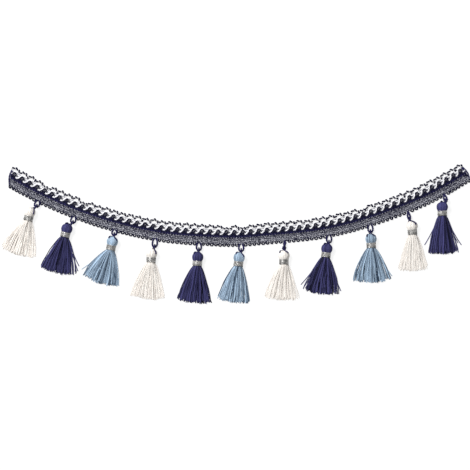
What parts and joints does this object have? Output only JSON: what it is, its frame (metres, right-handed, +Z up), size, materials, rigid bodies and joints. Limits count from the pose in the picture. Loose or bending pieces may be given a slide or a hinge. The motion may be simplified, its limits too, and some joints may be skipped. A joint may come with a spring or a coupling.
{
  "type": "tassel fringe trim",
  "caption": "Flat woven gimp heading, bowed as it lies, with small tassels hung on cord loops along its lower edge, each bound at the neck and splayed flat.",
  "frame": {"origin": "middle of the heading's underside, on its centreline", "axes": "+X along the trim from left to right, +Y from the tassels' tips towards the heading, +Z up out of the patterned face"},
  "size_m": [0.4091, 0.1221, 0.008],
  "materials": {
    "navy": "dull sheen, dyed cord and yarn",
    "sky": "soft sheen, two-tone blue yarn",
    "ivory": "soft sheen, undyed white yarn",
    "silver": "metallic thread",
    "braid": "mixed navy, white and silver cords"
  },
  "bodies": {
    "root": {"heading": "braid", "loop_01": "navy", "tie_01": "navy", "tassel_01": "ivory", "binding_01": "silver", "loop_02": "navy", "tie_02": "navy", "tassel_02": "navy", "binding_02": "silver", "loop_03": "navy", "tie_03": "navy", "tassel_03": "sky", "binding_03": "silver", "loop_04": "navy", "tie_04": "navy", "tassel_04": "ivory", "binding_04": "silver", "loop_05": "navy", "tie_05": "navy", "tassel_05": "navy", "binding_05": "silver", "loop_06": "navy", "tie_06": "navy", "tassel_06": "sky", "binding_06": "silver", "loop_07": "navy", "tie_07": "navy", "tassel_07": "ivory", "binding_07": "silver", "loop_08": "navy", "tie_08": "navy", "tassel_08": "navy", "binding_08": "silver", "loop_09": "navy", "tie_09": "navy", "tassel_09": "sky", "binding_09": "silver", "loop_10": "navy", "tie_10": "navy", "tassel_10": "ivory", "binding_10": "silver", "loop_11": "navy", "tie_11": "navy", "tassel_11": "navy", "binding_11": "silver"}
  },
  "joints": []
}
